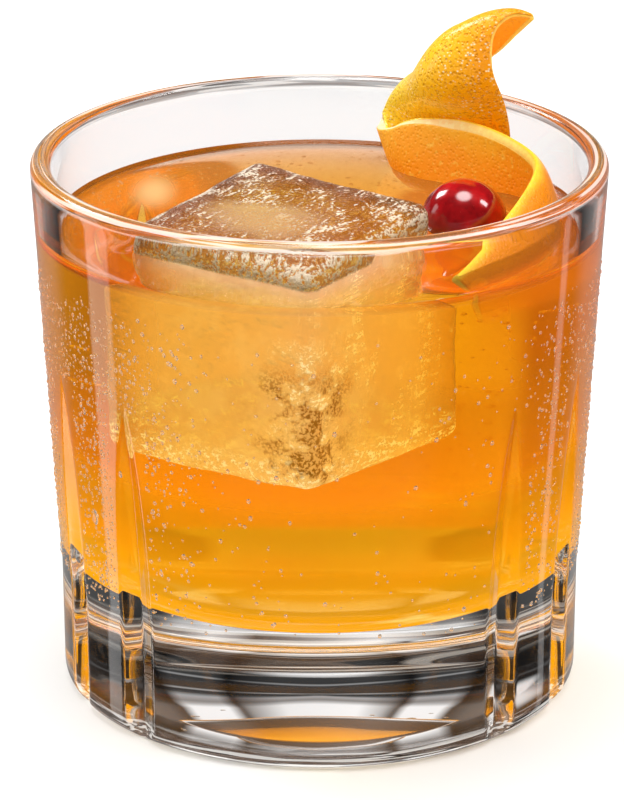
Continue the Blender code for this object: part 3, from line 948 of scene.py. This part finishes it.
def make_cherry():
    shape = bmesh.new()
    bmesh.ops.create_icosphere(shape, subdivisions=6, radius=CHERRY_RADIUS)
    lean = Matrix.Rotation(CHERRY_LEAN, 4, "X")
    turn = Matrix.Rotation(CHERRY_TURN, 4, "Z")
    for point in shape.verts:
        rise = max(point.co.z / CHERRY_RADIUS, 0.0)
        lumps = sum(noise.noise(point.co * scale) * depth for scale, depth in CHERRY_LUMPS)
        point.co *= 1.0 + min(lumps * MM / CHERRY_RADIUS, 0.0)
        point.co.z -= CHERRY_DIMPLE * rise ** CHERRY_DIMPLE_POWER
    mesh = bpy.data.meshes.new("cherry_fruit")
    shape.to_mesh(mesh)
    shape.free()
    cherry = add_piece("cherry_fruit", mesh, cherry_finish(), "cherry", "cherry")
    cherry.matrix_world = Matrix.Translation(CHERRY_CENTRE) @ turn @ lean
    return cherry


def smooth_chain(values, shares):
    """Natural cubic spline through a chain of values, read at shares from 0 to 1 of its length."""
    middle = (values[:, 0:3] + values[:, 3:6]) / 2
    steps = np.linalg.norm(np.diff(middle, axis=0), axis=1)
    steps += np.linalg.norm(np.diff(values[:, 3:6], axis=0), axis=1) / 2
    knots = np.concatenate(([0.0], np.cumsum(steps)))
    knots /= knots[-1]
    count = len(knots)
    gaps = np.diff(knots)
    system = np.eye(count)
    target = np.zeros_like(values)
    for row in range(1, count - 1):
        system[row, row - 1:row + 2] = (gaps[row - 1], 2 * (gaps[row - 1] + gaps[row]), gaps[row])
        rise = (values[row + 1] - values[row]) / gaps[row]
        target[row] = 6 * (rise - (values[row] - values[row - 1]) / gaps[row - 1])
    bend = np.linalg.solve(system, target)
    result = []
    for share in shares:
        span = min(max(int(np.searchsorted(knots, share)) - 1, 0), count - 2)
        gap = gaps[span]
        ahead = (share - knots[span]) / gap
        behind = 1 - ahead
        point = behind * values[span] + ahead * values[span + 1]
        point += ((behind ** 3 - behind) * bend[span] + (ahead ** 3 - ahead) * bend[span + 1]) * gap ** 2 / 6
        result.append(point)
    return np.array(result)


def peel_middle():
    """The peel's middle surface as rows of points, with its normals towards the zest."""
    stations = np.array([(*first, *second, bulge) for first, second, bulge in PEEL_STATIONS]) * MM
    rows = smooth_chain(stations, np.linspace(0.0, 1.0, PEEL_ROWS + 1))
    middle = (rows[:, 0:3] + rows[:, 3:6]) / 2
    along = np.gradient(middle, axis=0)
    along /= np.linalg.norm(along, axis=1)[:, None]
    across = rows[:, 3:6] - rows[:, 0:3]
    across -= np.sum(across * along, axis=1)[:, None] * along
    across /= np.linalg.norm(across, axis=1)[:, None]
    zest = np.cross(across, along)
    angle = np.linspace(0.0, math.pi, PEEL_COLUMNS + 1)
    side = -np.cos(angle)
    rise = np.sin(angle).clip(0.0) ** PEEL_BULGE_POWER
    first = rows[:, None, 0:3] * ((1 - side) / 2)[None, :, None]
    second = rows[:, None, 3:6] * ((1 + side) / 2)[None, :, None]
    sheet = first + second + zest[:, None, :] * (rows[:, None, 6:7] * rise[None, :, None])
    run_along = np.gradient(sheet, axis=0)
    run_across = np.gradient(sheet, axis=1)
    normals = np.cross(run_across, run_along)
    normals /= np.linalg.norm(normals, axis=2)[:, :, None] + 1e-12
    return sheet, normals, run_across / (np.linalg.norm(run_across, axis=2)[:, :, None] + 1e-12)


def inner_columns(sheet, normals, half, shares):
    """The inner side's columns, drawn in from the upper edge where its cut is slanted."""
    slant = np.interp(shares, *zip(*PEEL_SLANTS))
    every = np.arange(len(shares))
    columns = []
    for column in range(PEEL_COLUMNS + 1):
        at = column * (1.0 - slant)
        low = np.minimum(at.astype(int), PEEL_COLUMNS - 1)
        share = (at - low)[:, None]
        on_sheet = sheet[every, low] * (1 - share) + sheet[every, low + 1] * share
        turned = normals[every, low] * (1 - share) + normals[every, low + 1] * share
        columns.append(on_sheet - turned * half)
    return columns


def rim_columns(first, second, outward, half):
    """Columns that round a cut edge from one side of the rind to the other, each with its share."""
    columns = []
    for step in range(1, PEEL_RIM_STEPS):
        share = step / PEEL_RIM_STEPS
        bulge = half * PEEL_RIM_BULGE * math.sin(math.pi * share)
        columns.append((first * (1 - share) + second * share + outward * bulge, share))
    return columns


def peel_loops(shares):
    """Columns round the rind, each with its points, its place through the rind and its place across it."""
    sheet, normals, across = peel_middle()
    thin = PEEL_TIP_THINNESS + (1.0 - PEEL_TIP_THINNESS) * (shares / PEEL_TIP_REACH).clip(0.0, 1.0)
    half = (PEEL_THICKNESS / 2 * thin)[:, None]
    outer = [sheet[:, column] + normals[:, column] * half for column in range(PEEL_COLUMNS + 1)]
    inner = inner_columns(sheet, normals, half, shares)
    upper_rim = rim_columns(outer[-1], inner[-1], across[:, -1], half)
    lower_rim = rim_columns(inner[0], outer[0], -across[:, 0], half)
    loops = [(outer[column], 0.0, column / PEEL_COLUMNS) for column in range(PEEL_COLUMNS + 1)]
    loops += [(points, share, 1.0) for points, share in upper_rim]
    loops += [(inner[column], 1.0, column / PEEL_COLUMNS) for column in range(PEEL_COLUMNS, -1, -1)]
    loops += [(points, 1.0 - share, 0.0) for points, share in lower_rim]
    return loops


def make_peel():
    """Wraps each row of the middle surface into a flat loop whose upper cut is slanted where it shows."""
    rows = PEEL_ROWS + 1
    shares = np.linspace(0.0, 1.0, rows)
    loops, rind, across = zip(*peel_loops(shares))
    columns = len(loops)
    faces = turned_faces(rows, columns)
    last = (rows - 1) * columns
    faces.append(tuple(range(columns)))
    faces.append(tuple(last + column for column in reversed(range(columns))))
    points = np.stack(loops, axis=1).reshape(-1, 3)
    peel = mesh_piece("orange_twist", points, faces, peel_finish(), "orange_peel", "orange_peel")
    marks = {
        "rind": np.tile(rind, rows),
        "across": np.tile(across, rows),
        "along": np.repeat(shares, columns),
    }
    for name, values in marks.items():
        peel.data.attributes.new(name, "FLOAT", "POINT").data.foreach_set("value", values)
    shape = bmesh.new()
    shape.from_mesh(peel.data)
    bmesh.ops.recalc_face_normals(shape, faces=shape.faces)
    bmesh.ops.triangulate(shape, faces=[face for face in shape.faces if len(face.verts) > 4])
    shape.to_mesh(peel.data)
    shape.free()
    return peel


def nearest(piece):
    """A tree that finds the nearest point of a piece in the object's own frame."""
    depsgraph = bpy.context.evaluated_depsgraph_get()
    shape = bmesh.new()
    shape.from_object(piece, depsgraph)
    shape.transform(piece.matrix_world)
    tree = BVHTree.FromBMesh(shape)
    shape.free()
    return tree


def liquid_height(x, y, items):
    """Height of the drink's surface, which creeps up the glass and whatever floats in it."""
    wall = inner_radius(LIQUID_LEVEL) - math.hypot(x, y)
    height = MENISCUS_WALL * math.exp(-max(wall, 0.0) / MENISCUS_REACH)
    for item in items:
        point, _, _, distance = item.find_nearest(Vector((x, y, LIQUID_LEVEL)), MENISCUS_SEARCH)
        if point is not None:
            height = max(height, MENISCUS_ITEM * math.exp(-distance / MENISCUS_REACH))
    return LIQUID_LEVEL + height


def wet_outline():
    """Half outline of the drink under its surface, from near the middle of the floor up the wall."""
    corner = bowl_outline(-SINK)
    edge_height = LIQUID_LEVEL + MENISCUS_WALL
    top = (inner_radius(edge_height) + SINK, edge_height)
    outline = [(corner[0][0] * share, FLOOR_HEIGHT - SINK) for share in (0.33, 0.66)]
    return outline + corner + run(corner[-1], top, 24) + [top]


def surface_rings():
    """Radii of the rings of the drink's surface, close together where it creeps up the wall."""
    edge = inner_radius(LIQUID_LEVEL) - SURFACE_INSET
    rings = [edge - CREEP_WIDTH * (step / CREEP_STEPS) ** CREEP_GATHER for step in range(CREEP_STEPS + 1)]
    while rings[-1] > SURFACE_MIDDLE:
        rings.append(rings[-1] - SURFACE_STEP)
    return rings


def cut_pocket(drink):
    """Cuts a pocket for the ice out of the drink, so that the two just overlap."""
    pocket = add_object("ice_pocket", ice_mesh("ice_pocket", SINK))
    pocket.matrix_world = ice_matrix()
    cut = drink.modifiers.new("pocket", "BOOLEAN")
    cut.operation = "DIFFERENCE"
    cut.solver = "MANIFOLD"
    cut.object = pocket
    bpy.context.view_layer.update()
    depsgraph = bpy.context.evaluated_depsgraph_get()
    mesh = bpy.data.meshes.new_from_object(drink.evaluated_get(depsgraph))
    drink.modifiers.clear()
    drink.data = mesh
    bpy.data.objects.remove(pocket, do_unlink=True)


def make_drink(ice, cherry, peel):
    """The drink reaches a little into the wall and is cut round the ice."""
    items = [nearest(piece) for piece in (ice, cherry, peel)]
    turns = [math.tau * column / DRINK_COLUMNS for column in range(DRINK_COLUMNS)]
    outline, rings = wet_outline(), surface_rings()
    points = [(radius * math.cos(turn), radius * math.sin(turn), height)
              for radius, height in outline for turn in turns]
    for radius in rings:
        for turn in turns:
            x, y = radius * math.cos(turn), radius * math.sin(turn)
            points.append((x, y, liquid_height(x, y, items)))
    faces = turned_faces(len(outline) + len(rings), DRINK_COLUMNS)
    close_ends(points, faces, DRINK_COLUMNS, FLOOR_HEIGHT - SINK, LIQUID_LEVEL)
    drink = mesh_piece("amber_drink", points, faces, drink_finish(), "drink", "drink")
    cut_pocket(drink)
    return drink


def bead_points(angle, height, width, length, rise, rings, sides, centres):
    """Points of a flat-bottomed bead on the outside of the glass, its middle first."""
    turn = math.radians(angle)
    base = fluted_radius(outer_radius(height), height, angle, centres)
    outward = Vector((math.sin(turn), -math.cos(turn), 0.0))
    aside = Vector((math.cos(turn), math.sin(turn), 0.0))
    lean = (outer_radius(height + MM) - outer_radius(height)) / MM
    up = (Vector((0.0, 0.0, 1.0)) + outward * lean).normalized()
    facing = aside.cross(up).normalized()
    middle = outward * base + Vector((0.0, 0.0, height)) - facing * BEAD_SINK
    points = [middle, middle + facing * (rise + BEAD_SINK)]
    for ring in range(1, rings + 1):
        slope = math.pi / 2 * ring / rings
        for side in range(sides):
            spin = math.tau * side / sides
            sag = 1.0 - DROP_SAG * math.sin(spin) if length > LONG_DROP * width else 1.0
            reach = math.sin(slope) * sag
            sideways = aside * (math.cos(spin) * width * reach)
            upwards = up * (math.sin(spin) * length * math.sin(slope))
            points.append(middle + (sideways + upwards) + facing * ((rise + BEAD_SINK) * math.cos(slope)))
    return points


def bead_faces(start, rings, sides):
    faces = []
    last = start + 2 + (rings - 1) * sides
    for side in range(sides):
        following = (side + 1) % sides
        faces.append((start + 1, start + 2 + side, start + 2 + following))
        for ring in range(rings - 1):
            low = start + 2 + ring * sides
            faces.append((low + side, low + sides + side, low + sides + following, low + following))
        faces.append((start, last + following, last + side))
    return faces


def bead_share(angle, height):
    """How thickly the glass is beaded at a place on it, from 0 to 1."""
    side = np.interp(angle, *zip(*BEAD_ANGLES))
    level = np.interp(height, *zip(*BEAD_HEIGHTS))
    patch = 0.75 + 0.5 * noise.noise(Vector((angle / 9.0, height * 90.0, 4.2)))
    return side * level * patch


def clear_of_flutes(angle, centres, clearance):
    return all(degrees_apart(angle, centre) >= clearance for centre in centres)


def make_fine_beads(chance, centres):
    """One bead at most in each cell of a jittered grid round the glass."""
    points, faces = [], []
    bottom, top = BEAD_HEIGHTS[0][0], BEAD_HEIGHTS[-1][0]
    columns = int(math.tau * WAIST_RADIUS / BEAD_SPACING)
    for row in range(int((top - bottom) / BEAD_SPACING)):
        for column in range(columns):
            height = bottom + (row + chance.random()) * BEAD_SPACING
            angle = (column + chance.random()) / columns * 360 - 180
            size = BEAD_SMALLEST * (BEAD_LARGEST / BEAD_SMALLEST) ** (chance.random() ** BEAD_SIZE_POWER)
            in_flute = height < FLUTE_TIP_HEIGHT and not clear_of_flutes(angle, centres, FLUTE_CLEAR_ANGLE)
            if in_flute or chance.random() > bead_share(angle, height):
                continue
            length = size * chance.uniform(*BEAD_LENGTHS)
            faces += bead_faces(len(points), *BEAD_MESH)
            points += bead_points(angle, height, size, length, size * BEAD_RISE, *BEAD_MESH, centres)
    return mesh_piece("fine_condensation", points, faces, droplet_finish("fine_condensation"), "glass")


def make_large_drops(chance, centres):
    """The drops that stand out, and a few large beads where there is room for them."""
    drops = list(DROPS)
    for _ in range(LARGE_BEADS):
        angle, height = chance.uniform(-180, 180), chance.uniform(*LARGE_HEIGHTS) * MM
        roomy = clear_of_flutes(angle, centres, DROP_CLEAR_ANGLE)
        if roomy and chance.random() < bead_share(angle, height):
            size = chance.uniform(*LARGE_SIZES)
            drops.append((angle, height / MM, size, size * chance.uniform(*LARGE_LENGTHS)))
    points, faces = [], []
    for angle, height, width, length in drops:
        faces += bead_faces(len(points), *DROP_MESH)
        size = (width * MM, length * MM, width * MM * DROP_RISE)
        points += bead_points(angle, height * MM, *size, *DROP_MESH, centres)
    return mesh_piece("large_drops", points, faces, droplet_finish("large_drops"), "glass")


def make_beads():
    """Fine condensation all round, thicker at the sides, and a few larger drops that have started to run."""
    chance = random.Random(BEAD_SEED)
    centres, _ = flute_columns()
    return make_fine_beads(chance, centres), make_large_drops(chance, centres)


# ---------------------------------------------------------------- studio

def backdrop_light(finish, azimuth, z):
    """The lit backdrop that shows through the glass, above its silver foot."""
    foot = finish.band(z, *FOOT_LOWEST) * finish.band(z, *FOOT_HIGHEST)
    foot = foot * finish.profile(azimuth, SILVER_WIDTHS)
    upper = finish.band(z, *UPPER_HEIGHTS) * finish.profile(z, BACKDROP_HEIGHTS)
    return foot + upper * finish.profile(azimuth, PANEL_WIDTHS)


def table_light(finish, azimuth, z, mirrors, crossed):
    """The pale table that shows through the glass, between dark flags on both sides."""
    away = abs(azimuth)
    flags = finish.band(away, *FLAG_AZIMUTHS) * finish.band(away, *FLAG_ENDS)
    table = finish.band(z, *TABLE_HEIGHTS) * (1.0 - flags * FLAG_DARKNESS)
    unmirrored = 1.0 - finish.maths("MINIMUM", mirrors, 1.0) * (1.0 - ROOM_MIRRORED)
    far = finish.band(crossed, *FAR_CROSSINGS)
    near = (1.0 - far) * finish.band(z, *NEAR_HEIGHTS)
    beyond = table * (unmirrored * far + (1.0 - far)) * (1.0 - near)
    return beyond + table * finish.profile(azimuth, SILVER_WIDTHS) * near


def box_light(finish, azimuth, z):
    """The softboxes round the glass."""
    boxes = 0.0
    side, end = BOX_SOFTNESS
    for centre, half, low, high, brightness in SOFTBOXES:
        width = finish.band(abs(azimuth - centre), half + side, half - side)
        level = finish.band(z, low - end, low + end) * finish.band(z, high + end, high - end)
        boxes = boxes + width * level * brightness
    return boxes


def light_studio():
    """A dark room with softboxes above a pale table, and a lit backdrop behind the glass."""
    world = bpy.data.worlds.new("studio")
    bpy.context.scene.world = world
    finish = Finish(world)
    x, y, z = finish.parts(finish.add("ShaderNodeTexCoord"))
    azimuth = finish.maths("ARCTAN2", x, y) * (180.0 / math.pi)
    kinds = finish.add("ShaderNodeLightPath").socket.node.outputs
    seen, reflects, glossy, passes, mirrors, crossed = [Value(finish, kinds[name]) for name in RAY_KINDS]
    boxes = box_light(finish, azimuth, z)
    lamps = finish.band(z, *OVERHEAD) * OVERHEAD_GLOW
    matt = TABLE_GLOW - finish.band(z, *ROOM_HEIGHTS) * (TABLE_GLOW - ROOM_GLOW) + boxes + lamps
    horizon = finish.band(abs(azimuth), *HORIZON_AZIMUTHS) * finish.band(z, *HORIZON_HEIGHTS)
    above = finish.band(z, *OVERHEAD_MIRRORED) * OVERHEAD_SHINE
    mirrored = horizon * HORIZON_MIRRORED + ROOM_MIRRORED + boxes + above
    through = table_light(finish, azimuth, z, mirrors, crossed) + backdrop_light(finish, azimuth, z)
    through = through + boxes * BOXES_THROUGH_GLASS
    strength = matt + reflects * glossy * (mirrored - matt)
    strength = strength + passes * (through - strength)
    strength = strength + seen * (1.0 - strength)
    light = finish.add("ShaderNodeBackground", None, {"Color": WHITE, "Strength": strength})
    finish.add("ShaderNodeOutputWorld", None, {"Surface": light})


def make_floor():
    mesh = bpy.data.meshes.new("floor")
    half = FLOOR_SIZE
    corners = [(-half, -half, 0), (half, -half, 0), (half, half, 0), (-half, half, 0)]
    mesh.from_pydata(corners, [], [(0, 1, 2, 3)])
    mesh.materials.append(floor_finish())
    floor = add_object("floor", mesh)
    floor.visible_glossy = False
    floor.visible_transmission = False
    floor.visible_shadow = False


def place_camera():
    data = bpy.data.cameras.new("camera")
    data.sensor_width = SENSOR
    data.lens = SENSOR * CAMERA_FOCAL_PIXELS / FRAME_HEIGHT_PIXELS
    data.shift_x = -AXIS_OFFSET_PIXELS / FRAME_HEIGHT_PIXELS
    camera = add_object("camera", data)
    camera.location = CAMERA_PLACE
    camera.rotation_euler = (math.pi / 2 - CAMERA_PITCH, 0.0, 0.0)
    bpy.context.scene.camera = camera


def set_rendering():
    scene = bpy.context.scene
    scene.view_settings.view_transform = "Standard"
    scene.cycles.max_bounces = 28
    scene.cycles.transmission_bounces = 28
    scene.cycles.glossy_bounces = 10
    scene.cycles.diffuse_bounces = 3
    scene.cycles.transparent_max_bounces = 24
    scene.cycles.caustics_reflective = False
    scene.cycles.caustics_refractive = False
    scene.cycles.sample_clamp_indirect = 12.0


def main():
    place_camera()
    set_rendering()
    light_studio()
    make_floor()
    tumbler = make_tumbler()
    ice = make_ice()
    cherry = make_cherry()
    peel = make_peel()
    drink = make_drink(ice, cherry, peel)
    for piece in (tumbler, ice, cherry, peel, drink, *make_beads()):
        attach(piece, "root")


main()
